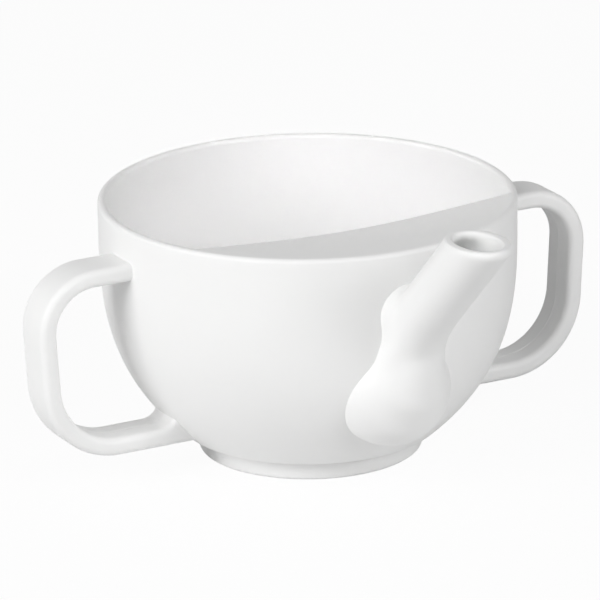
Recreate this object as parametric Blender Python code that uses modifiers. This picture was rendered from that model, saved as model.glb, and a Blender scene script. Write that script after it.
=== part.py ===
"""Feeding cup: a two-handled bowl with a cover over the front of its mouth and a drinking spout.

Lengths are in metres and +Z is up. The cup stands on the plane z = 0. Its handles lie along X
and its spout points along -Y. The middle of its overall box is over the origin.
"""

import math

import bmesh
import bpy
from mathutils import Matrix, Vector

MM = 0.001

# Gap left at every joint, where the real cup has a film of weld or glue
GAP = 0.3 * MM

# Bowl: the outer wall is one smooth curve from the rim down to the base
RIM_RADIUS = 50.0 * MM
RIM_HEIGHT = 62.7 * MM
BASE_RADIUS = 30.6 * MM
BASE_HEIGHT = 5.3 * MM
SIDE_PULL = 16.9 * MM
SIDE_LEAN = math.radians(1.5)
BELLY_PULL = 28.6 * MM
BELLY_SLOPE = math.radians(39.7)
WALL = 2.2 * MM
FLOOR_BLEND = 12.0 * MM

# Foot ring, centred by a low boss under the bowl
FOOT_RADIUS = 27.2 * MM
FOOT_TAPER = 0.4 * MM
FOOT_WIDTH = 4.2 * MM
FOOT_ROUND = 0.6 * MM
BOSS_HEIGHT = 1.5 * MM

# Cover: a shallow cone over the spout's side of the mouth, resting on a ledge in the bowl
COVER_EDGE = 23.7 * MM
COVER_SLOPE = math.radians(4.2)
COVER_DROP = 0.3 * MM
COVER_THICKNESS = 2.0 * MM
LEDGE_WIDTH = 2.0 * MM
LEDGE_LIP = 0.8 * MM
LEDGE_SETBACK = 1.5 * MM

# Handles: flat straps with rounded edges, each end plugged onto a tenon of the bowl
HANDLE_STANDOFF = 21.0 * MM
UPPER_ARM_DROP = 9.9 * MM
LOWER_ARM_RISE = 4.9 * MM
GRIP_LEAN = math.radians(3.3)
UPPER_BEND = 12.4 * MM
LOWER_BEND = 17.3 * MM
STRAP_WIDTH = 11.2 * MM
STRAP_THICKNESS = 4.4 * MM
STRAP_ROUND = 1.6 * MM
TENON_WIDTH = 6.0 * MM
TENON_THICKNESS = 1.8 * MM
TENON_LENGTH = 3.0 * MM

# Spout: a bulb and a neck against the bowl, and a slanting pipe with a level mouth, all hollow.
# The pipe's wall ends in a full round. A hollow blend joins the bulb to the neck, and a longer
# one joins it to the underside of the pipe
BULB_RADIUS = 14.3 * MM
BULB_RISE = 21.4 * MM
BULB_INSET = 6.6 * MM
NECK_RADIUS = 7.5 * MM
NECK_DROP = 15.4 * MM
NECK_BLEND = 13.0 * MM
PIPE_RADIUS = 7.1 * MM
PIPE_ROOT = 12.7 * MM
PIPE_LENGTH = 51.9 * MM
PIPE_ANGLE = math.radians(43.8)
PIPE_BLEND = 43.0 * MM
PIPE_BLEND_REACH = 18.6 * MM
PIPE_BLEND_SINK = 0.4 * MM
SPOUT_WALL = 2.2 * MM
LIP_ROUND = 1.15 * MM

# Port from the bowl into the bulb, and the spigot round it that the bulb fits over
PORT_RADIUS = 5.0 * MM
PORT_DROP = 4.0 * MM
SPIGOT_HEIGHT = 1.5 * MM
SPIGOT_THICKNESS = 1.2 * MM

# Fineness of the round shapes
BOWL_STEPS = 64
SPOUT_STEPS = 28
CURVE_STEPS = 12
ARC_STEPS = 6
BEND_STEPS = 9
MERGE = 0.001 * MM

WHITE = (0.83, 0.83, 0.82, 1.0)
ROUGHNESS = 0.32


def curve_controls():
    """Control points of the bowl's outer wall, as (radius, height), from the rim to the base."""
    top = Vector((RIM_RADIUS, RIM_HEIGHT - WALL / 2))
    base = Vector((BASE_RADIUS, BASE_HEIGHT))
    side = top + SIDE_PULL * Vector((-math.sin(SIDE_LEAN), -math.cos(SIDE_LEAN)))
    belly = base + BELLY_PULL * Vector((math.cos(BELLY_SLOPE), math.sin(BELLY_SLOPE)))
    return top, side, belly, base


def wall_point(t, inset=0.0):
    """Point of the outer wall at t, from 0 at the rim to 1 at the base, moved in by inset."""
    a, b, c, d = curve_controls()
    s = 1 - t
    point = s ** 3 * a + 3 * s * s * t * b + 3 * s * t * t * c + t ** 3 * d
    along = (s * s * (b - a) + 2 * s * t * (c - b) + t * t * (d - c)).normalized()
    return point + inset * Vector((along.y, -along.x))


def solve(reading, low, high):
    """Value between low and high at which a falling reading passes zero."""
    for _ in range(60):
        middle = (low + high) / 2
        if reading(middle) > 0:
            low = middle
        else:
            high = middle
    return (low + high) / 2


def wall_radius(height):
    """Radius of the outer wall at a height."""
    return wall_point(solve(lambda t: wall_point(t).y - height, 0.0, 1.0)).x


def arc(centre, radius, start, end, steps=ARC_STEPS):
    """Points round part of a circle in (radius, height), angles in radians from outwards."""
    angles = [start + (end - start) * i / steps for i in range(steps + 1)]
    return [centre + radius * Vector((math.cos(a), math.sin(a))) for a in angles]


def wall_outline(inset, first=0.0, last=1.0):
    """Points down the outer wall moved in by inset."""
    steps = [first + (last - first) * i / CURVE_STEPS for i in range(CURVE_STEPS + 1)]
    return [wall_point(t, inset) for t in steps]


def bowl_outline():
    """Section of the bowl from the middle of its floor, over the rim, to the middle of its base."""
    floor = BASE_HEIGHT + WALL
    blend_inset = WALL + FLOOR_BLEND
    end = solve(lambda t: wall_point(t, blend_inset).y - floor - FLOOR_BLEND, 0.0, 1.0)
    blend = wall_point(end, blend_inset)
    meeting = wall_point(end, WALL) - blend
    rim = Vector((RIM_RADIUS - WALL / 2, RIM_HEIGHT - WALL / 2))
    boss = FOOT_RADIUS - FOOT_WIDTH - GAP
    inside = [Vector((0, floor))]
    inside += arc(blend, FLOOR_BLEND, -math.pi / 2, math.atan2(meeting.y, meeting.x))
    inside += wall_outline(WALL, end, 0.0)[1:]
    over = arc(rim, WALL / 2, math.pi, 0.0)[1:-1]
    under = [Vector((boss, BASE_HEIGHT)), Vector((boss, BASE_HEIGHT - BOSS_HEIGHT))]
    under += [Vector((0, BASE_HEIGHT - BOSS_HEIGHT))]
    return inside + over + wall_outline(0.0) + under


def envelope_outline(inset):
    """Section of a filled bowl whose outer wall is moved in by inset."""
    wall = wall_outline(inset)
    return [Vector((0, wall[0].y))] + wall + [Vector((0, wall[-1].y))]


def bulb_centre():
    """Middle of the spout's bulb, in the cup's own axes."""
    height = BASE_HEIGHT + BULB_RISE
    return Vector((0, BULB_INSET - wall_radius(height), height))


def neck_centre():
    """Middle of the spout's neck, on the bowl's wall."""
    height = RIM_HEIGHT - NECK_DROP
    return Vector((0, -wall_radius(height), height))


def pipe_direction():
    return Vector((0, -math.cos(PIPE_ANGLE), math.sin(PIPE_ANGLE)))


def pipe_side(angle):
    """Direction straight out from the pipe's middle line, from the cup's +X round over its back."""
    across = Vector((1, 0, 0))
    return math.cos(angle) * across + math.sin(angle) * pipe_direction().cross(across)


def pipe_point(distance):
    """Point on the pipe's middle line, at a distance from where it leaves the neck's."""
    up = (neck_centre() - bulb_centre()).normalized()
    return bulb_centre() + PIPE_ROOT * up + distance * pipe_direction()


def lip_section(side):
    """Points of the pipe's round end on one side of it, from outside to inside, with a level top."""
    out = pipe_direction()
    middle = PIPE_RADIUS - LIP_ROUND
    crest = LIP_ROUND * math.hypot(out.z, side.z)
    back = (crest + middle * side.z) / out.z
    centre = pipe_point(PIPE_LENGTH - back) + middle * side
    edge = arc(Vector((0, 0)), LIP_ROUND, 0, math.pi, ARC_STEPS)
    return [centre + p.x * side + p.y * out for p in edge]


def pear_outline(length, big, small, blend):
    """Section of a small ball above a large one, joined by a hollow blend, from top to bottom."""
    along = (length ** 2 + (big + blend) ** 2 - (small + blend) ** 2) / (2 * length)
    across = math.sqrt((big + blend) ** 2 - along ** 2)
    centre = Vector((across, along))
    high = math.atan2(along - length, across)
    low = math.atan2(along, across)
    outline = arc(Vector((0, length)), small, math.pi / 2, high)
    outline += arc(centre, blend, math.pi + high, math.pi + low)[1:-1]
    outline += arc(Vector((0, 0)), big, low, -math.pi / 2, 2 * ARC_STEPS)
    outline[0].x = outline[-1].x = 0
    return outline


def cover_outline(drop, inner, outer):
    """Points of the cover's cone, dropped by a distance, from its inner radius to its outer."""
    def height(radius):
        return RIM_HEIGHT - COVER_DROP - (RIM_RADIUS - radius) * math.tan(COVER_SLOPE) - drop
    return [Vector((radius, height(radius))) for radius in (inner, outer)]


def handle_path():
    """Middle line of the right handle in (x, z), from its upper root to its lower one."""
    upper = RIM_HEIGHT - UPPER_ARM_DROP
    lower = BASE_HEIGHT + LOWER_ARM_RISE
    grip = RIM_RADIUS + HANDLE_STANDOFF
    lean = math.tan(GRIP_LEAN)
    half = (upper - lower) / 2
    top_corner = Vector((grip + half * lean, upper))
    low_corner = Vector((grip - half * lean, lower))
    top_cut = UPPER_BEND * math.tan((math.pi / 2 + GRIP_LEAN) / 2)
    low_cut = LOWER_BEND * math.tan((math.pi / 2 - GRIP_LEAN) / 2)
    top_centre = Vector((top_corner.x - top_cut, upper - UPPER_BEND))
    low_centre = Vector((low_corner.x - low_cut, lower + LOWER_BEND))
    upper_root = wall_radius(upper)
    lower_root = wall_radius(lower)
    path = [Vector((upper_root - 2 * WALL, upper)), Vector((upper_root, upper))]
    path += arc(top_centre, UPPER_BEND, math.pi / 2, -GRIP_LEAN, BEND_STEPS)
    path += arc(low_centre, LOWER_BEND, -GRIP_LEAN, -math.pi / 2, BEND_STEPS)
    path += [Vector((lower_root, lower)), Vector((lower_root - 2 * WALL, lower))]
    return path


def clear_scene():
    for item in list(bpy.data.objects):
        bpy.data.objects.remove(item, do_unlink=True)


def make_collection(name):
    collection = bpy.data.collections.new(name)
    bpy.context.scene.collection.children.link(collection)
    return collection


def plastic(name):
    """Glossy white moulded plastic."""
    material = bpy.data.materials.new(name)
    material.use_nodes = True
    shader = material.node_tree.nodes["Principled BSDF"]
    shader.inputs["Base Color"].default_value = WHITE
    shader.inputs["Roughness"].default_value = ROUGHNESS
    shader.inputs["Metallic"].default_value = 0.0
    return material


class Workshop:
    """Makes the cup's pieces and the cutters that shape them, all under one empty."""

    def __init__(self, name):
        self.pieces = make_collection(name)
        self.cutters = make_collection(name + "_cutters")
        self.frame = bpy.data.objects.new(name + "_frame", None)
        self.pieces.objects.link(self.frame)

    def add(self, name, data, piece):
        thing = bpy.data.objects.new(name, data)
        thing.parent = self.frame
        if piece:
            self.pieces.objects.link(thing)
            data.materials.append(plastic(name + "_plastic"))
        else:
            self.cutters.objects.link(thing)
            thing.hide_render = True
            thing.display_type = "WIRE"
        return thing

    def turned(self, name, outline, steps, piece=False, closed=False):
        """Solid turned about its own Z from a section of (radius, height) points."""
        shape = bmesh.new()
        points = [shape.verts.new((p.x, 0, p.y)) for p in outline]
        for a, b in zip(points, points[1:]):
            shape.edges.new((a, b))
        if closed:
            shape.edges.new((points[-1], points[0]))
        mesh = bpy.data.meshes.new(name)
        shape.to_mesh(mesh)
        shape.free()
        thing = self.add(name, mesh, piece)
        screw = thing.modifiers.new("Turn", "SCREW")
        screw.steps = screw.render_steps = steps
        screw.use_smooth_shade = True
        screw.use_merge_vertices = True
        screw.merge_threshold = MERGE
        return thing

    def box(self, name, low, high):
        """Box between two corners, as a cutter."""
        shape = bmesh.new()
        bmesh.ops.create_cube(shape, size=1.0)
        size = [b - a for a, b in zip(low, high)]
        bmesh.ops.scale(shape, vec=size, verts=shape.verts)
        bmesh.ops.translate(shape, vec=[(a + b) / 2 for a, b in zip(low, high)], verts=shape.verts)
        mesh = bpy.data.meshes.new(name)
        shape.to_mesh(mesh)
        shape.free()
        return self.add(name, mesh, False)

    def rod(self, name, start, end, radius):
        """Round rod between two points, as a cutter."""
        axis = end - start
        shape = bmesh.new()
        bmesh.ops.create_cone(shape, cap_ends=True, segments=SPOUT_STEPS, radius1=radius,
                              radius2=radius, depth=axis.length)
        turn = axis.to_track_quat("Z", "Y").to_matrix().to_4x4()
        bmesh.ops.transform(shape, matrix=Matrix.Translation((start + end) / 2) @ turn, verts=shape.verts)
        mesh = bpy.data.meshes.new(name)
        shape.to_mesh(mesh)
        shape.free()
        return self.add(name, mesh, False)

    def lipped_pipe(self, name):
        """Solid pipe of the spout with its round end, as a cutter."""
        shape = bmesh.new()
        columns = []
        for step in range(SPOUT_STEPS):
            side = pipe_side(math.tau * step / SPOUT_STEPS)
            line = [pipe_point(0.0) + PIPE_RADIUS * side] + lip_section(side)
            columns.append([shape.verts.new(p) for p in line])
        root = shape.verts.new(pipe_point(0.0))
        top = shape.verts.new(pipe_point(PIPE_LENGTH - LIP_ROUND))
        for one, other in zip(columns, columns[1:] + columns[:1]):
            shape.faces.new((root, one[0], other[0]))
            shape.faces.new((top, one[-1], other[-1]))
            for a, b, c, d in zip(one, other, other[1:], one[1:]):
                shape.faces.new((a, b, c, d))
        bmesh.ops.recalc_face_normals(shape, faces=shape.faces)
        mesh = bpy.data.meshes.new(name)
        shape.to_mesh(mesh)
        shape.free()
        return self.add(name, mesh, False)

    def pear(self, name, end, big, small, blend, piece=False):
        """Large ball on the bulb's centre and a small one at end, joined by a hollow blend."""
        axis = end - bulb_centre()
        outline = pear_outline(axis.length, big, small, blend)
        thing = self.turned(name, outline, SPOUT_STEPS, piece)
        thing.location = bulb_centre()
        thing.rotation_euler = (math.atan2(-axis.y, axis.z), 0, 0)
        return thing

    def ball(self, name, centre, radius):
        """Ball, as a cutter."""
        outline = arc(Vector((0, 0)), radius, math.pi / 2, -math.pi / 2, 2 * ARC_STEPS)
        outline[0].x = outline[-1].x = 0
        thing = self.turned(name, outline, SPOUT_STEPS)
        thing.location = centre
        return thing

    def strap(self, name, path):
        """Strap with rounded edges swept along a line in the plane y = 0."""
        flat = STRAP_WIDTH / 2 - STRAP_ROUND
        side = STRAP_THICKNESS / 2 - STRAP_ROUND
        quarter = math.pi / 2
        edge = []
        for turn, (across, up) in enumerate(((1, 1), (-1, 1), (-1, -1), (1, -1))):
            corner = Vector((across * flat, up * side))
            edge += arc(corner, STRAP_ROUND, turn * quarter, (turn + 1) * quarter, ARC_STEPS // 2)
        section_data = bpy.data.curves.new(name + "_section", "CURVE")
        section_data.dimensions = "2D"
        ring = section_data.splines.new("POLY")
        ring.points.add(len(edge) - 1)
        for point, place in zip(ring.points, edge):
            point.co = (place.x, place.y, 0, 1)
        ring.use_cyclic_u = True
        section = self.add(name + "_section", section_data, False)

        line_data = bpy.data.curves.new(name + "_line", "CURVE")
        line_data.dimensions = "3D"
        line = line_data.splines.new("POLY")
        line.points.add(len(path) - 1)
        for point, place in zip(line.points, path):
            point.co = (place.x, 0, place.y, 1)
        line_data.bevel_mode = "OBJECT"
        line_data.bevel_object = section
        line_data.use_fill_caps = True
        guide = self.add(name + "_line", line_data, False)

        bpy.context.view_layer.update()
        ready = bpy.context.evaluated_depsgraph_get()
        mesh = bpy.data.meshes.new_from_object(guide.evaluated_get(ready))
        shape = bmesh.new()
        shape.from_mesh(mesh)
        bmesh.ops.remove_doubles(shape, verts=shape.verts, dist=MERGE)
        bmesh.ops.recalc_face_normals(shape, faces=shape.faces)
        shape.to_mesh(mesh)
        shape.free()
        mesh.name = name
        bpy.data.objects.remove(guide)
        bpy.data.objects.remove(section)
        mesh.materials.clear()
        mesh.shade_smooth()
        return self.add(name, mesh, True)


def boolean(thing, operation, other):
    step = thing.modifiers.new(other.name, "BOOLEAN")
    step.operation = operation
    step.solver = "EXACT"
    step.object = other


def make_bowl(shop):
    bowl = shop.turned("bowl", bowl_outline(), BOWL_STEPS, piece=True)
    far = 2 * RIM_RADIUS

    root = RIM_RADIUS - WALL / 2
    lip = RIM_RADIUS - WALL - LEDGE_WIDTH
    lip_top, root_top = cover_outline(COVER_THICKNESS + GAP, lip, root)
    lip_bottom = lip_top - Vector((0, LEDGE_LIP))
    root_bottom = lip_bottom - Vector((0, root - lip))
    section = [root_top, root_bottom, lip_bottom, lip_top]
    ledge = shop.turned("cover_ledge", section, BOWL_STEPS, closed=True)
    ledge.rotation_euler.z = math.pi / BOWL_STEPS
    beyond = shop.box("ledge_end", (-far, -COVER_EDGE - LEDGE_SETBACK, 0), (far, far, far))
    boolean(ledge, "DIFFERENCE", beyond)
    boolean(bowl, "UNION", ledge)

    for side, hand in ((-1, "left"), (1, "right")):
        for level, height in arm_heights():
            tenon = tenon_box(shop, hand + "_" + level + "_tenon", side, height, 0.0)
            boolean(bowl, "UNION", tenon)

    bulb = bulb_centre()
    fit = BULB_RADIUS - SPOUT_WALL - GAP
    spigot = shop.ball("spigot", bulb, fit)
    core = shop.ball("spigot_core", bulb, fit - SPIGOT_THICKNESS)
    reach = shop.turned("spigot_reach", envelope_outline(-SPIGOT_HEIGHT), BOWL_STEPS)
    inside = shop.turned("spigot_root", envelope_outline(WALL / 2), BOWL_STEPS)
    boolean(spigot, "DIFFERENCE", core)
    boolean(spigot, "INTERSECT", reach)
    boolean(spigot, "DIFFERENCE", inside)
    boolean(bowl, "UNION", spigot)

    middle = bulb - Vector((0, 0, PORT_DROP))
    through = Vector((0, BULB_RADIUS, 0))
    port = shop.rod("spout_port", middle + through, middle - through, PORT_RADIUS)
    boolean(bowl, "DIFFERENCE", port)
    return bowl


def make_foot_ring(shop):
    top = BASE_HEIGHT - GAP
    inner = FOOT_RADIUS - FOOT_WIDTH
    sole = FOOT_RADIUS - FOOT_TAPER
    outline = [Vector((FOOT_RADIUS, top))]
    down = -math.pi / 2
    outline += arc(Vector((sole - FOOT_ROUND, FOOT_ROUND)), FOOT_ROUND, 0.0, down, ARC_STEPS // 2)
    outline += arc(Vector((inner + FOOT_ROUND, FOOT_ROUND)), FOOT_ROUND, down, 2 * down, ARC_STEPS // 2)
    outline += [Vector((inner, top))]
    return shop.turned("foot_ring", outline, BOWL_STEPS, piece=True, closed=True)


def make_cover(shop):
    outer = RIM_RADIUS - WALL - GAP
    far = 2 * RIM_RADIUS
    top = cover_outline(0.0, 0.0, outer)
    under = cover_outline(COVER_THICKNESS, 0.0, outer)
    cover = shop.turned("front_cover", top + under[::-1], BOWL_STEPS, piece=True)
    open_side = shop.box("cover_edge", (-far, -COVER_EDGE, 0), (far, far, far))
    boolean(cover, "DIFFERENCE", open_side)
    return cover


def arm_heights():
    return ("upper", RIM_HEIGHT - UPPER_ARM_DROP), ("lower", BASE_HEIGHT + LOWER_ARM_RISE)


def tenon_box(shop, name, side, height, clearance):
    """Tenon that a handle's end plugs onto, larger all round by a clearance."""
    root = wall_radius(height)
    across = TENON_WIDTH / 2 + clearance
    thick = TENON_THICKNESS / 2 + clearance
    ends = sorted((side * (root - WALL / 2), side * (root + TENON_LENGTH + clearance)))
    return shop.box(name, (ends[0], -across, height - thick), (ends[1], across, height + thick))


def make_handle(shop, hand, side, clear_of_bowl):
    path = [Vector((side * p.x, p.y)) for p in handle_path()]
    handle = shop.strap(hand + "_handle", path)
    boolean(handle, "DIFFERENCE", clear_of_bowl)
    for level, height in arm_heights():
        socket = tenon_box(shop, hand + "_" + level + "_socket", side, height, GAP)
        boolean(handle, "DIFFERENCE", socket)
    return handle


def spout_forms(shop, name, inset, piece=False):
    """Bulb with its neck, and blend under the pipe, both smaller by inset."""
    bulb = BULB_RADIUS - inset
    neck = shop.pear(name, neck_centre(), bulb, NECK_RADIUS - inset, NECK_BLEND + inset, piece)
    under = shop.pear(name + "_blend", pipe_point(PIPE_BLEND_REACH), bulb - PIPE_BLEND_SINK,
                      PIPE_RADIUS - inset, PIPE_BLEND + inset)
    return neck, under


def make_spout(shop, clear_of_bowl):
    spout, under = spout_forms(shop, "spout", 0.0, piece=True)
    boolean(spout, "UNION", shop.lipped_pipe("spout_pipe"))
    boolean(spout, "UNION", under)
    past = PIPE_LENGTH + 2 * PIPE_RADIUS / math.tan(PIPE_ANGLE)
    bore = shop.rod("spout_bore", pipe_point(0.0), pipe_point(past), PIPE_RADIUS - SPOUT_WALL)
    for hollow in (*spout_forms(shop, "spout_hollow", SPOUT_WALL), bore):
        boolean(spout, "DIFFERENCE", hollow)
    boolean(spout, "DIFFERENCE", clear_of_bowl)
    return spout


def main():
    clear_scene()
    shop = Workshop("feeding_cup")
    clear_of_bowl = shop.turned("clear_of_bowl", envelope_outline(-GAP), BOWL_STEPS)
    make_bowl(shop)
    make_foot_ring(shop)
    make_cover(shop)
    make_handle(shop, "left", -1, clear_of_bowl)
    make_handle(shop, "right", 1, clear_of_bowl)
    make_spout(shop, clear_of_bowl)

    spout_reach = -min(p.y for p in lip_section(pipe_side(-math.pi / 2)))
    shop.frame.location = (0, (spout_reach - RIM_RADIUS) / 2, 0)
    bpy.context.view_layer.update()


main()
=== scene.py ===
import math

import bmesh
import bpy
from mathutils import Matrix, Vector
from mathutils.geometry import interpolate_bezier


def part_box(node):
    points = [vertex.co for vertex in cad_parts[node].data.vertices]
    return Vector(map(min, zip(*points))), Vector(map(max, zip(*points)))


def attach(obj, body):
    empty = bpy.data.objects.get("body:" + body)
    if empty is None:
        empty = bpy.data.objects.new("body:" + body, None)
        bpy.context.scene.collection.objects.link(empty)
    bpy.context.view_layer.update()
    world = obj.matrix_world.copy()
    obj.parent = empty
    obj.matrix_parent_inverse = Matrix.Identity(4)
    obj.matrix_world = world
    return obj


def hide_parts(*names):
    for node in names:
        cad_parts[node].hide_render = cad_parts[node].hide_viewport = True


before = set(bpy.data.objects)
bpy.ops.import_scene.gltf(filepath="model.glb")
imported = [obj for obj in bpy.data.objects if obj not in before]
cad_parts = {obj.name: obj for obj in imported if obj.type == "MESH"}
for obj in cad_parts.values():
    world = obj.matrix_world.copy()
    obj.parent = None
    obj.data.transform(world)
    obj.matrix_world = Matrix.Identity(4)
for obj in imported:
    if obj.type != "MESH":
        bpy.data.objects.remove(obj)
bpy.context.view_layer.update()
mm = 0.001
sameSpot = 1e-6  # metres, under which two points are one
hairline = 1e-7

# the foot ring is round, so the middle of its box is on the cup's axis
footLow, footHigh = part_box("foot_ring")
cupAxis = (footLow + footHigh) / 2
cupAxis.z = 0
print("frame loaded, cup axis at", tuple(round(v, 5) for v in cupAxis))

photoCamera = {
    "lens": 376.15,
    "sensor": 36,
    "distance": 1.5,
    "turn": 27.94,  # degrees round the cup from straight in front of the spout
    "rise": 18.73,  # degrees above level
    "roll": -0.825,
    "aimRight": -2.115 * mm,
    "aimUp": 36.1 * mm,
}


def placeCamera(spec):
    turn, rise = math.radians(spec["turn"]), math.radians(spec["rise"])
    up = Vector((0, 0, 1))
    right = Vector((math.cos(turn), -math.sin(turn), 0))
    ahead = up.cross(right) * math.cos(rise) - up * math.sin(rise)
    aim = cupAxis + right * spec["aimRight"] + up * spec["aimUp"]
    data = bpy.data.cameras.new("photoCamera")
    data.sensor_width = spec["sensor"]
    data.lens = spec["lens"]
    camera = bpy.data.objects.new("photoCamera", data)
    bpy.context.scene.collection.objects.link(camera)
    lookAlong = ahead.to_track_quat("-Z", "Y").to_matrix().to_4x4()
    lean = Matrix.Rotation(math.radians(spec["roll"]), 4, "Z")
    camera.matrix_world = Matrix.Translation(aim - ahead * spec["distance"]) @ lookAlong @ lean
    bpy.context.scene.camera = camera


placeCamera(photoCamera)
print("camera placed")


# drawing and turning, all about the cup's own axis until a piece is finished

# points are (radius, height) in mm, and the line may go on from a vertex
def drawLine(bm, points, onto=None):
    line = [onto] if onto else []
    line += [bm.verts.new((r * mm, 0, h * mm)) for r, h in points]
    for a, b in zip(line, line[1:]):
        bm.edges.new((a, b))
    return line[-1]


def drawArc(bm, start, centre, degrees, steps):  # clockwise seen with the radius to the right
    middle = (centre[0] * mm, 0, centre[1] * mm)
    made = bmesh.ops.spin(bm, geom=[start], cent=middle, axis=(0, 1, 0),
                          angle=math.radians(degrees), steps=steps)
    return next(g for g in made["geom_last"] if isinstance(g, bmesh.types.BMVert))


def sweepCurve(knots, steps):
    a, b, c, d = [Vector(k) for k in knots]
    return [tuple(p) for p in interpolate_bezier(a, b, c, d, steps)]


def turnRound(bm, steps):
    for v in bm.verts:
        if abs(v.co.x) < hairline:
            v.co.x = 0
    bmesh.ops.spin(bm, geom=bm.verts[:] + bm.edges[:], axis=(0, 0, 1), angle=math.tau,
                   steps=steps, use_merge=True)
    bmesh.ops.remove_doubles(bm, verts=bm.verts, dist=sameSpot)
    bmesh.ops.dissolve_degenerate(bm, edges=bm.edges, dist=hairline)
    bmesh.ops.recalc_face_normals(bm, faces=bm.faces)


def makeObject(name, bm):
    mesh = bpy.data.meshes.new(name)
    bm.to_mesh(mesh)
    bm.free()
    made = bpy.data.objects.new(name, mesh)
    bpy.context.scene.collection.objects.link(made)
    return made


def bakeModifiers(piece):
    bpy.context.view_layer.update()
    ready = piece.evaluated_get(bpy.context.evaluated_depsgraph_get())
    mesh = bpy.data.meshes.new_from_object(ready)
    piece.modifiers.clear()
    piece.data = mesh


def carve(piece, tool, operation="DIFFERENCE"):
    step = piece.modifiers.new("carve", "BOOLEAN")
    step.operation = operation
    step.solver = "MANIFOLD"
    step.object = tool
    bakeModifiers(piece)
    bpy.data.objects.remove(tool)


def finishPiece(piece, node, sharpDegrees):  # stands on the cup's axis, in place of its CAD node
    piece.data.transform(Matrix.Translation(cupAxis))
    piece.data.name = piece.name
    piece.data.materials.clear()
    piece.data.materials.append(whitePlastic)
    piece.data.shade_smooth()
    piece.data.set_sharp_from_angle(angle=math.radians(sharpDegrees))
    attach(piece, "root")
    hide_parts(node)
    print(piece.name, "made,", len(piece.data.polygons), "faces")


# shader maths: a socket that takes part in sums

class Flow:
    def __init__(self, tree, socket=None):
        self.tree = tree
        self.socket = socket

    def node(self, kind, settings, values, out=0):
        made = self.tree.nodes.new(kind)
        for key, value in settings.items():
            setattr(made, key, value)
        for key, value in values.items():
            if isinstance(value, Flow):
                self.tree.links.new(value.socket, made.inputs[key])
            else:
                made.inputs[key].default_value = value
        return Flow(self.tree, made.outputs[out] if made.outputs else None)

    def sum(self, operation, first, second):
        return self.node("ShaderNodeMath", {"operation": operation}, {0: first, 1: second})

    def __add__(self, other):
        return self.sum("ADD", self, other)

    def __radd__(self, other):
        return self.sum("ADD", other, self)

    def __sub__(self, other):
        return self.sum("SUBTRACT", self, other)

    def __rsub__(self, other):
        return self.sum("SUBTRACT", other, self)

    def __mul__(self, other):
        return self.sum("MULTIPLY", self, other)

    def __rmul__(self, other):
        return self.sum("MULTIPLY", other, self)


plasticLook = {
    "pale": (0.93, 0.93, 0.925, 1),
    "shade": (0.915, 0.916, 0.912, 1),
    "drift": 35,  # broad tone, repeats per metre
    "driftDetail": 3.0,
    "grain": 1400,  # fine moulded skin
    "grainDetail": 2.0,
    "roughness": 0.45,
    "roughnessDrift": 0.08,
    "roughnessGrain": 0.06,
    "shine": 0.3,
    "index": 1.49,
    "bump": 0.05,
    "bumpDepth": 0.03 * mm,
}


def makePlastic(look):
    material = bpy.data.materials.new("satinWhitePlastic")
    material.use_nodes = True
    tree = material.node_tree
    tree.nodes.clear()
    start = Flow(tree)
    place = start.node("ShaderNodeTexCoord", {}, {}, "Object")
    broad = start.node("ShaderNodeTexNoise", {}, {"Vector": place, "Scale": look["drift"],
                                                  "Detail": look["driftDetail"]})
    skin = start.node("ShaderNodeTexNoise", {}, {"Vector": place, "Scale": look["grain"],
                                                 "Detail": look["grainDetail"]})
    colour = start.node("ShaderNodeMix", {"data_type": "RGBA"},
                        {"Factor": broad, "A": look["shade"], "B": look["pale"]}, "Result")
    unevenness = (broad - 0.5) * look["roughnessDrift"] + (skin - 0.5) * look["roughnessGrain"]
    ripple = start.node("ShaderNodeBump", {}, {"Strength": look["bump"], "Distance": look["bumpDepth"],
                                               "Height": skin})
    shader = start.node("ShaderNodeBsdfPrincipled", {},
                        {"Base Color": colour, "Roughness": look["roughness"] + unevenness,
                         "Normal": ripple, "IOR": look["index"], "Specular IOR Level": look["shine"]})
    start.node("ShaderNodeOutputMaterial", {}, {"Surface": shader})
    return material


whitePlastic = makePlastic(plasticLook)
print("plastic mixed")


# bowl: one turned shell with a round rim, the spout's port and the ledge that carries the cover

bowl = {
    "outer": ((50.0, 61.6), (49.56, 44.71), (52.605, 23.57), (30.6, 5.3)),  # rim to base
    "outerSteps": 44,
    "inner": ((47.8, 61.6), (50.14, 18.09), (31.36, 7.5), (25.51, 7.5)),  # rim to floor
    "innerSteps": 40,
    "rimMiddle": (48.9, 61.6),
    "rimSteps": 16,
    "floorRing": 12,  # radius of a ring of points in the flat floor
    "baseRound": 0.7,
    "baseSteps": 4,
    "bossRadius": 22.7,
    "bossDrop": 1.5,
    "around": 216,
    "portPlace": (0, -39.7, 22.7),
    "portRadius": 5.0,
    "portDepth": 24,
    "portSides": 64,
    "ledge": ((48.6, 59.99), (45.8, 59.79), (45.8, 58.99), (48.6, 56.2)),
    "ledgeDegrees": 114,
    "ledgeSteps": 80,
    "rootSink": 0.3,  # how far the handles and the spout reach into the wall
}


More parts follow.
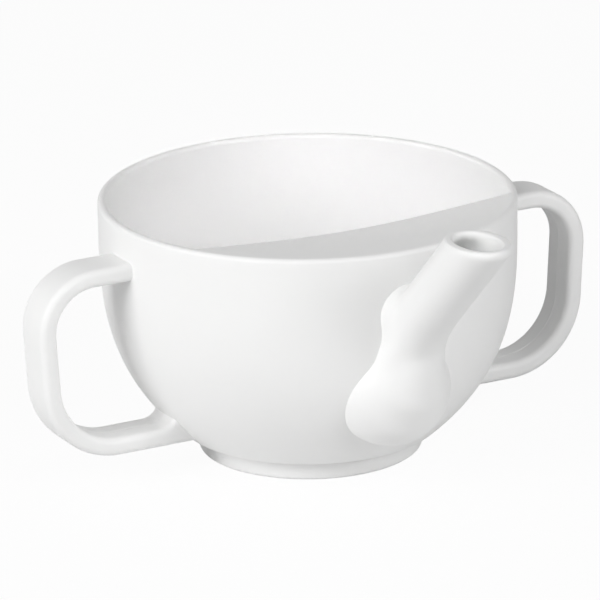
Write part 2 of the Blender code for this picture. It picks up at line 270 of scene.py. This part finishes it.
def makeBowl(spec):
    bm = bmesh.new()
    inner = sweepCurve(spec["inner"], spec["innerSteps"])
    outer = sweepCurve(spec["outer"], spec["outerSteps"])
    floor, base = inner[-1][1], outer[-1][1]
    rimStart = drawLine(bm, [(0, floor), (spec["floorRing"], floor)] + inner[::-1])
    rimEnd = drawArc(bm, rimStart, spec["rimMiddle"], 180, spec["rimSteps"])
    corner = drawLine(bm, outer[1:], rimEnd)
    boss, under = spec["bossRadius"], base - spec["bossDrop"]
    drawLine(bm, [(boss, base), (boss, under), (0, under)], corner)
    bmesh.ops.bevel(bm, geom=[corner], offset=spec["baseRound"] * mm, segments=spec["baseSteps"],
                    profile=0.5, affect="VERTICES", material=-1)
    turnRound(bm, spec["around"])
    piece = makeObject("cupBowl", bm)

    bm = bmesh.new()  # the port's drill
    bmesh.ops.create_cone(bm, cap_ends=True, segments=spec["portSides"], depth=spec["portDepth"] * mm,
                          radius1=spec["portRadius"] * mm, radius2=spec["portRadius"] * mm)
    bmesh.ops.rotate(bm, verts=bm.verts, matrix=Matrix.Rotation(math.pi / 2, 3, "X"))
    bmesh.ops.translate(bm, verts=bm.verts, vec=Vector(spec["portPlace"]) * mm)
    carve(piece, makeObject("portDrill", bm))

    bm = bmesh.new()  # the ledge, turned through part of a circle about the spout's side
    section = bm.faces.new([bm.verts.new((r * mm, 0, h * mm)) for r, h in spec["ledge"]])
    bmesh.ops.rotate(bm, verts=bm.verts,
                     matrix=Matrix.Rotation(math.radians(-90 - spec["ledgeDegrees"] / 2), 3, "Z"))
    bmesh.ops.spin(bm, geom=[section] + section.edges[:] + section.verts[:], axis=(0, 0, 1),
                   angle=math.radians(spec["ledgeDegrees"]), steps=spec["ledgeSteps"])
    bmesh.ops.recalc_face_normals(bm, faces=bm.faces)
    bm.from_mesh(piece.data)
    bm.to_mesh(piece.data)
    bm.free()
    finishPiece(piece, "bowl", sharpDegrees=30)


makeBowl(bowl)


# foot ring, a little smaller than the bowl's base so that a shadow line runs round above it

footRing = {
    "outer": (27.2, 26.8),  # at its top and at its sole
    "inner": 23.0,
    "cove": 1.2,  # hollow where it meets the bowl
    "coveSteps": 8,
    "height": 5.3,
    "buried": 0.3,  # what reaches into the bowl's base
    "soleRound": 0.9,
    "soleSteps": 6,
    "around": 216,
}


def makeFootRing(spec):
    bm = bmesh.new()
    top, sole = spec["outer"]
    cove, height = spec["cove"], spec["height"]
    highest = height + spec["buried"]
    first = bm.verts.new(((top + cove) * mm, 0, highest * mm))
    bend = drawLine(bm, [(top + cove, height)], first)
    neck = drawArc(bm, bend, (top + cove, height - cove), -90, spec["coveSteps"])
    last = drawLine(bm, [(sole, 0), (spec["inner"], 0), (spec["inner"], highest)], neck)
    bm.edges.new((last, first))
    corners = [v for v in bm.verts if v.co.z == 0]
    bmesh.ops.bevel(bm, geom=corners, offset=spec["soleRound"] * mm, segments=spec["soleSteps"],
                    profile=0.5, affect="VERTICES", material=-1)
    turnRound(bm, spec["around"])
    finishPiece(makeObject("cupFootRing", bm), "foot_ring", sharpDegrees=30)


makeFootRing(footRing)


# cover: a shallow dish over the spout's side, flush with the rim

frontCover = {
    "rim": (48.804, 62.697),  # where it runs on from the round of the rim
    "slope": 5.0,
    "inward": 27.0,
    "chord": 23.7,  # its straight edge, in front of the cup's axis
    "thickness": 2.2,
    "edgeRound": 0.5,
    "edgeSteps": 4,
    "degrees": 126,
    "steps": 130,
    "cuts": 11,  # along its slope
}


def makeCover(spec):
    bm = bmesh.new()
    radius, height = spec["rim"]
    fall = spec["inward"] * math.tan(math.radians(spec["slope"]))
    drawLine(bm, [spec["rim"], (radius - spec["inward"], height - fall)])
    bmesh.ops.subdivide_edges(bm, edges=bm.edges[:], cuts=spec["cuts"])
    bmesh.ops.rotate(bm, verts=bm.verts,
                     matrix=Matrix.Rotation(math.radians(-90 - spec["degrees"] / 2), 3, "Z"))
    bmesh.ops.spin(bm, geom=bm.verts[:] + bm.edges[:], axis=(0, 0, 1),
                   angle=math.radians(spec["degrees"]), steps=spec["steps"])
    chord = -spec["chord"] * mm
    bmesh.ops.bisect_plane(bm, geom=bm.verts[:] + bm.edges[:] + bm.faces[:], dist=hairline,
                           plane_co=(0, chord, 0), plane_no=(0, 1, 0), clear_outer=True)
    bmesh.ops.recalc_face_normals(bm, faces=bm.faces)
    if sum(f.normal.z for f in bm.faces) < 0:
        bmesh.ops.reverse_faces(bm, faces=bm.faces)
    made = bmesh.ops.extrude_face_region(bm, geom=bm.faces[:], use_keep_orig=True)
    lower = [g for g in made["geom"] if isinstance(g, bmesh.types.BMVert)]
    bmesh.ops.translate(bm, verts=lower, vec=(0, 0, -spec["thickness"] * mm))
    bmesh.ops.recalc_face_normals(bm, faces=bm.faces)
    edge = [e for e in bm.edges if all(abs(v.co.y - chord) < sameSpot for v in e.verts)
            and e.is_manifold and e.calc_face_angle() > math.radians(60)]
    bmesh.ops.bevel(bm, geom=edge, offset=spec["edgeRound"] * mm, segments=spec["edgeSteps"],
                    profile=0.5, affect="EDGES", material=-1, clamp_overlap=True)
    finishPiece(makeObject("cupFrontCover", bm), "front_cover", sharpDegrees=40)


makeCover(frontCover)


# handles: straps drawn out of the bowl's side, round a bend, down the grip and back in

strapHandle = {
    "width": 11.2,
    "thickness": 4.4,
    "edgeRound": 1.6,
    "edgeSteps": 8,
    "partingLine": (0.5, 0.12),  # width and height of the mould's line inside the loop
    "upperArm": (47.0, 52.8),  # where the strap starts, inside the wall
    "upperSteps": 8,
    "upperBend": (59.07, 40.4),  # middle of its curve, and so below
    "upperBendSteps": 40,
    "lean": 3.3,
    "grip": 13.204,
    "gripSteps": 10,
    "lowerBend": (53.418, 27.5),
    "lowerBendRadius": 17.3,
    "lowerBendSteps": 44,
    "lowerArm": 30.0,  # how far in the strap runs
    "lowerSteps": 40,
    "flareStart": 43.0,
    "flareTop": 20,  # only what is lower than this flares
    "flare": 4.2,
}


bowlEnvelope = {
    "steps": 60,
    "crown": 0.5,  # how much higher its middle is than the wall
}


def makeEnvelope(spec):  # the bowl filled solid, to trim what stands against it
    bm = bmesh.new()
    wall = [(r - bowl["rootSink"], h) for r, h in sweepCurve(bowl["outer"], spec["steps"])]
    drawLine(bm, [(0, wall[0][1] + spec["crown"])] + wall + [(0, wall[-1][1])])
    turnRound(bm, bowl["around"])
    return makeObject("bowlEnvelope", bm)


def trimRoot(piece):
    carve(piece, makeEnvelope(bowlEnvelope))
    bm = bmesh.new()
    bm.from_mesh(piece.data)  # where a corner has two edges alone, triangles would fold over each other
    bmesh.ops.dissolve_verts(bm, verts=[v for v in bm.verts if len(v.link_edges) == 2])
    bm.to_mesh(piece.data)
    bm.free()


def drawOut(bm, face, vec, steps):
    for _ in range(steps):
        made = bmesh.ops.extrude_face_region(bm, geom=[face] + face.edges[:] + face.verts[:])
        ends = [g for g in made["geom"] if isinstance(g, bmesh.types.BMVert)]
        bmesh.ops.translate(bm, verts=ends, vec=Vector(vec) / steps)
        face = next(g for g in made["geom"] if isinstance(g, bmesh.types.BMFace))
    return face


def bendRound(bm, face, centre, degrees, steps):
    middle = (centre[0] * mm, 0, centre[1] * mm)
    made = bmesh.ops.spin(bm, geom=[face] + face.edges[:] + face.verts[:], cent=middle, axis=(0, 1, 0),
                          angle=math.radians(degrees), steps=steps)
    return next(g for g in made["geom_last"] if isinstance(g, bmesh.types.BMFace))


def makeHandle(spec, name, node, side):
    bm = bmesh.new()
    start, height = spec["upperArm"]
    y, z = spec["width"] / 2, spec["thickness"] / 2
    seam, proud = spec["partingLine"]
    outline = ((-y, -z), (-seam, -z), (-seam / 2, -z), (0, -z - proud), (seam / 2, -z), (seam, -z),
               (y, -z), (y, z), (-y, z))
    ring = [bm.verts.new((start * mm, a * mm, (height + b) * mm)) for a, b in outline]
    bm.faces.new(ring)
    corners = [v for v, (a, b) in zip(ring, outline) if abs(a) == y]
    bmesh.ops.bevel(bm, geom=corners, offset=spec["edgeRound"] * mm, segments=spec["edgeSteps"],
                    profile=0.5, affect="VERTICES", material=-1)
    face = bm.faces[:][0]
    lean, grip = math.radians(spec["lean"]), spec["grip"] * mm
    face = drawOut(bm, face, ((spec["upperBend"][0] - start) * mm, 0, 0), spec["upperSteps"])
    face = bendRound(bm, face, spec["upperBend"], 90 + spec["lean"], spec["upperBendSteps"])
    face = drawOut(bm, face, (-grip * math.sin(lean), 0, -grip * math.cos(lean)), spec["gripSteps"])
    face = bendRound(bm, face, spec["lowerBend"], 90 - spec["lean"], spec["lowerBendSteps"])
    drawOut(bm, face, ((spec["lowerArm"] - spec["lowerBend"][0]) * mm, 0, 0), spec["lowerSteps"])
    bmesh.ops.recalc_face_normals(bm, faces=bm.faces)

    under = (spec["lowerBend"][1] - spec["lowerBendRadius"] - z) * mm
    reach = spec["flare"] * mm
    for v in bm.verts:  # the lower root rises into the wall
        run = spec["flareStart"] * mm - v.co.x
        if run > 0 and v.co.z < spec["flareTop"] * mm:
            rise = reach - math.sqrt(max(reach ** 2 - min(run, reach) ** 2, 0))
            v.co.z += rise * min(1, (v.co.z - under) / (2 * z * mm)) ** 2
    if side < 0:
        bmesh.ops.scale(bm, vec=(-1, 1, 1), verts=bm.verts)
        bmesh.ops.recalc_face_normals(bm, faces=bm.faces)
    piece = makeObject(name, bm)
    trimRoot(piece)
    finishPiece(piece, node, sharpDegrees=40)


makeHandle(strapHandle, "cupLeftHandle", "left_handle", -1)
makeHandle(strapHandle, "cupRightHandle", "right_handle", 1)


# spout: a pear-shaped bulb and neck on the bowl and a slanting pipe with a blend under it, melted together

spout = {
    "bulb": (-39.7, 26.7),  # (y, z)
    "neck": (-49.85, 47.3),
    "bulbRadius": 14.3,
    "neckRadius": 7.5,
    "neckBlend": 13.0,
    "pipeRadius": 7.05,
    "pipeRoot": 12.2,
    "pipeDegrees": 43.9,
    "mouthHeight": 74.0,
    "lipRound": 1.15,  # half the pipe's wall, whose end is level, with round sides
    "lipFlat": 0.25,  # what is levelled off its top
    "underReach": 18.6,
    "underBlend": 43.0,
    "underSink": 0.4,
    "underPinch": (0.12, 2.5, 7.5),  # how much slimmer it is by the bowl, and over what distance
    "belly": (-45.9, 29.6),  # the bulb stands out towards the front
    "bellyRadius": 10.6,
    "shoulder": (-51.3, 37.0),  # and up under the pipe
    "shoulderRadius": 7.0,
    "swellBlend": 200.0,
    "swellSink": 0.02,  # so that it leaves the bulb without a crease
    "elbowReach": 13.9,  # where the hollow between shoulder and pipe ends, along the pipe
    "elbowBlend": 6.0,
    "elbowPlace": (11.5, 7.0),  # middle of the softer part, along the pipe and below its axis
    "elbowSize": (4.0, 10.0),
    "elbowSmoothing": 80,
    "wall": 2.2,
    "boreSlack": 0.03,  # added to the bore's radius inside the lip
    "boreOver": 12,  # how far the bore's drill runs on past the mouth
    "pearSteps": (14, 14, 28),  # on the small end, the blend and the big end
    "pearSides": 72,
    "pipeSides": 96,
    "pipeCap": 2,  # radius of the flat in the middle of its end
    "lipSides": 32,
    "grow": 0.1,  # what the smoothing takes off
    "voxel": 0.32,
    "smoothing": 40,
    "lipSmoothing": 6,  # passes that reach the mouth, and by how much each later one stops short
    "lipStep": 0.2,
}


def pearShape(spec, length, big, small, blend):
    bm = bmesh.new()
    along = (length ** 2 + (big + blend) ** 2 - (small + blend) ** 2) / (2 * length)
    across = math.sqrt((big + blend) ** 2 - along ** 2)
    high = math.degrees(math.atan2(along - length, across))
    low = math.degrees(math.atan2(along, across))
    smallSteps, blendSteps, bigSteps = spec["pearSteps"]
    top = bm.verts.new((0, 0, (length + small) * mm))
    waist = drawArc(bm, top, (0, length), 90 - high, smallSteps)
    belly = drawArc(bm, waist, (across, along), high - low, blendSteps)
    drawArc(bm, belly, (0, 0), low + 90, bigSteps)
    turnRound(bm, spec["pearSides"])
    return bm


def relax(bm, verts):
    bmesh.ops.smooth_vert(bm, verts=verts, factor=0.5, use_axis_x=True, use_axis_y=True, use_axis_z=True)


def makeSpout(spec):
    bulb = Vector((0, *spec["bulb"]))
    neck = Vector((0, *spec["neck"]))
    belly = Vector((0, *spec["belly"]))
    shoulder = Vector((0, *spec["shoulder"]))
    slant = math.radians(spec["pipeDegrees"])
    out = Vector((0, -math.cos(slant), math.sin(slant)))
    root = bulb + (neck - bulb).normalized() * spec["pipeRoot"]
    reach = (spec["mouthHeight"] - root.z) / out.z
    alongPipe = out.to_track_quat("Z", "Y").to_matrix()
    lip = spec["lipRound"]

    def pear(name, start, end, big, small, blend):
        bm = pearShape(spec, (end - start).length, big, small, blend)
        turn = (end - start).to_track_quat("Z", "Y").to_matrix().to_4x4()
        bmesh.ops.transform(bm, matrix=Matrix.Translation(start * mm) @ turn, verts=bm.verts)
        return makeObject(name, bm)

    def standOnPipe(bm, ending, radius):  # the ending follows the level mouth round the pipe
        for v in ending:
            side = (alongPipe @ Vector((v.co.x, v.co.y, 0))).normalized()
            v.co.z -= (lip * math.hypot(out.z, side.z) + (radius - lip) * side.z) / out.z * mm
        place = Matrix.Translation(root * mm) @ alongPipe.to_4x4()
        bmesh.ops.transform(bm, matrix=place, verts=bm.verts)

    def pipe(radius):
        bm = bmesh.new()
        drawLine(bm, [(0, 0), (radius, 0), (radius, reach), (spec["pipeCap"], reach), (0, reach)])
        turnRound(bm, spec["pipeSides"])
        standOnPipe(bm, [v for v in bm.verts if v.co.z > 0 and v.co.xy.length > mm], radius)
        return makeObject("spoutPipe", bm)

    def lipBead(radius):
        bm = bmesh.new()
        place = Matrix.Translation(((radius - lip) * mm, 0, reach * mm))
        upright = Matrix.Rotation(math.pi / 2, 4, "X")
        bmesh.ops.create_circle(bm, segments=spec["lipSides"], radius=lip * mm, matrix=place @ upright)
        turnRound(bm, spec["pipeSides"])
        standOnPipe(bm, bm.verts[:], radius)
        bmesh.ops.translate(bm, verts=bm.verts, vec=(0, 0, spec["lipFlat"] * mm))
        return makeObject("spoutLip", bm)

    def bore(radius):
        bm = bmesh.new()
        end = reach + spec["boreOver"]
        drawLine(bm, [(0, 0), (radius, 0), (radius, end), (0, end)])
        turnRound(bm, spec["pipeSides"])
        standOnPipe(bm, [], radius)
        return makeObject("spoutBore", bm)

    def pears(grow):
        big = spec["bulbRadius"] + grow
        mid = spec["shoulderRadius"] + grow
        thin = spec["pipeRadius"] + grow
        front = spec["bellyRadius"] + grow
        body = pear("spoutBody", bulb, neck, big, spec["neckRadius"] + grow, spec["neckBlend"] - grow)
        under = pear("spoutUnder", bulb, root + out * spec["underReach"],
                     big - spec["underSink"], thin, spec["underBlend"] - grow)
        swell = pear("spoutSwell", bulb, belly, big - spec["swellSink"], front, spec["swellBlend"])
        rise = pear("spoutRise", belly, shoulder, front, mid, spec["swellBlend"])
        elbow = pear("spoutElbow", shoulder, root + out * spec["elbowReach"],
                     mid, thin, spec["elbowBlend"] - grow)
        share, near, far = spec["underPinch"]
        away = Vector((0, *(neck - bulb).yz.orthogonal().normalized()))
        away = away if away.y < 0 else -away
        for v in under.data.vertices:
            part = min(1, max(0, ((v.co / mm - bulb).dot(away) - near) / (far - near)))
            v.co.x *= 1 - share * (1 - part * part * (3 - 2 * part))
        return body, under, swell, rise, elbow

    piece, *others = pears(spec["grow"])
    outer = spec["pipeRadius"] + spec["grow"] / 2
    for added in (*others, pipe(outer), lipBead(outer)):
        carve(piece, added, "UNION")
    for hollow in (*pears(-spec["wall"]), bore(outer - 2 * lip + spec["boreSlack"])):
        carve(piece, hollow)

    melt = piece.modifiers.new("melt", "REMESH")
    melt.mode = "VOXEL"
    melt.voxel_size = spec["voxel"] * mm
    bakeModifiers(piece)
    bm = bmesh.new()
    bm.from_mesh(piece.data)
    for passed in range(spec["smoothing"]):  # fewer and fewer passes towards the lip
        limit = spec["mouthHeight"] + spec["lipStep"] * (spec["lipSmoothing"] - passed)
        relax(bm, [v for v in bm.verts if v.co.z < limit * mm])
    for v in bm.verts:
        v.co.z = min(v.co.z, spec["mouthHeight"] * mm)
    along, below = spec["elbowPlace"]
    least, most = spec["elbowSize"]
    middle = root + out * along - Vector((0, math.sin(slant), math.cos(slant))) * below
    distance = {v: (v.co / mm - middle).length for v in bm.verts}
    for passed in range(spec["elbowSmoothing"]):  # and more of them in the hollow under the pipe
        limit = most - (most - least) * passed / spec["elbowSmoothing"]
        relax(bm, [v for v in distance if distance[v] < limit])
    bm.to_mesh(piece.data)
    bm.free()
    trimRoot(piece)
    piece.name = "cupSpout"
    finishPiece(piece, "spout", sharpDegrees=50)


makeSpout(spout)


# plain pale floor and soft studio light

studio = {
    "floor": (0.86, 0.86, 0.86, 1),
    "floorSize": 3.0,
    "floorCells": 8,
    "floorLift": 0.95,  # share of plain white that the camera sees in the floor
    "floorShine": 0.3,  # and that shows in reflections
    "fill": 0.1,
    "lampAim": (0, 0, 35),
    "lampDistance": 1.2,
    "lampSize": 0.55,
    "lamps": (  # name, degrees round from the camera (left is minus), degrees up, power
        ("keyLamp", -55, 20, 4.7),
        ("keyTopLamp", -55, 38, 1.9),
        ("overLamp", -30, 38, 2.5),
        ("frontLamp", 38, 34, 3.3),
        ("rightLamp", 62, 21, 3.2),
        ("leftLamp", -80, 29, 0.7),
        ("backLamp", -115, 25, 0.5),
    ),
    # narrow lamps: name, where they point in mm, degrees round and up, distance, size, spread, power
    "slits": (
        ("innerRightSlit", (0, 44, 50), 27.94, 32, 0.45, (0.085, 0.03), 8, 0.0016),
        ("innerLeftSlit", (39.2, 20, 50), -35, 32, 0.45, (0.085, 0.03), 8, 0.0013),
        ("mouthSlit", (0, -81.9, 73.5), 2, 28, 0.2, (0.008, 0.004), 1, 0.00004),
    ),
}


def lightRays(start):  # seen by the camera, in a reflection, or through a clear piece
    kinds = ("Is Camera Ray", "Is Glossy Ray", "Is Transmission Ray")
    return [start.node("ShaderNodeLightPath", {}, {}, kind) for kind in kinds]


def lightStudio(spec):
    scene = bpy.context.scene
    scene.view_settings.view_transform = "Standard"
    world = bpy.data.worlds.new("studioWorld")
    scene.world = world
    world.use_nodes = True
    tree = world.node_tree
    tree.nodes.clear()
    start = Flow(tree)
    camera, glossy, through = lightRays(start)
    seen = camera + glossy + through
    fill = start.node("ShaderNodeBackground", {}, {"Color": (1, 1, 1, 1), "Strength": spec["fill"]})
    white = start.node("ShaderNodeBackground", {}, {"Color": (1, 1, 1, 1), "Strength": 1.0})
    both = start.node("ShaderNodeMixShader", {}, {0: seen, 1: fill, 2: white})
    start.node("ShaderNodeOutputWorld", {}, {"Surface": both})

    bm = bmesh.new()
    bmesh.ops.create_grid(bm, x_segments=spec["floorCells"], y_segments=spec["floorCells"],
                          size=spec["floorSize"])
    floor = makeObject("studioFloor", bm)
    material = bpy.data.materials.new("paleFloor")
    material.use_nodes = True
    tree = material.node_tree
    tree.nodes.clear()
    start = Flow(tree)
    camera, glossy, through = lightRays(start)
    seen = camera * spec["floorLift"] + (glossy + through) * spec["floorShine"]
    card = start.node("ShaderNodeBsdfDiffuse", {}, {"Color": spec["floor"]})
    white = start.node("ShaderNodeEmission", {}, {"Color": (1, 1, 1, 1), "Strength": 1.0})
    both = start.node("ShaderNodeMixShader", {}, {0: seen, 1: card, 2: white})
    start.node("ShaderNodeOutputMaterial", {}, {"Surface": both})
    floor.data.materials.append(material)

    def hang(name, aim, aside, up, distance, size, power):
        data = bpy.data.lights.new(name, "AREA")
        data.shape = "ELLIPSE"
        data.size, data.size_y = size
        data.energy = power
        lamp = bpy.data.objects.new(name, data)
        scene.collection.objects.link(lamp)
        turn, rise = math.radians(photoCamera["turn"] - aside), math.radians(up)
        level = math.cos(rise)
        towards = Vector((-math.sin(turn) * level, -math.cos(turn) * level, math.sin(rise)))
        look = (-towards).to_track_quat("-Z", "Y").to_matrix().to_4x4()
        place = cupAxis + Vector(aim) * mm + towards * distance
        lamp.matrix_world = Matrix.Translation(place) @ look
        return data

    size = (spec["lampSize"], spec["lampSize"])
    for name, aside, up, power in spec["lamps"]:
        hang(name, spec["lampAim"], aside, up, spec["lampDistance"], size, power)
    for name, aim, aside, up, distance, size, spread, power in spec["slits"]:
        slit = hang(name, aim, aside, up, distance, size, power)
        slit.spread = math.radians(spread)


lightStudio(studio)
print("studio lit")
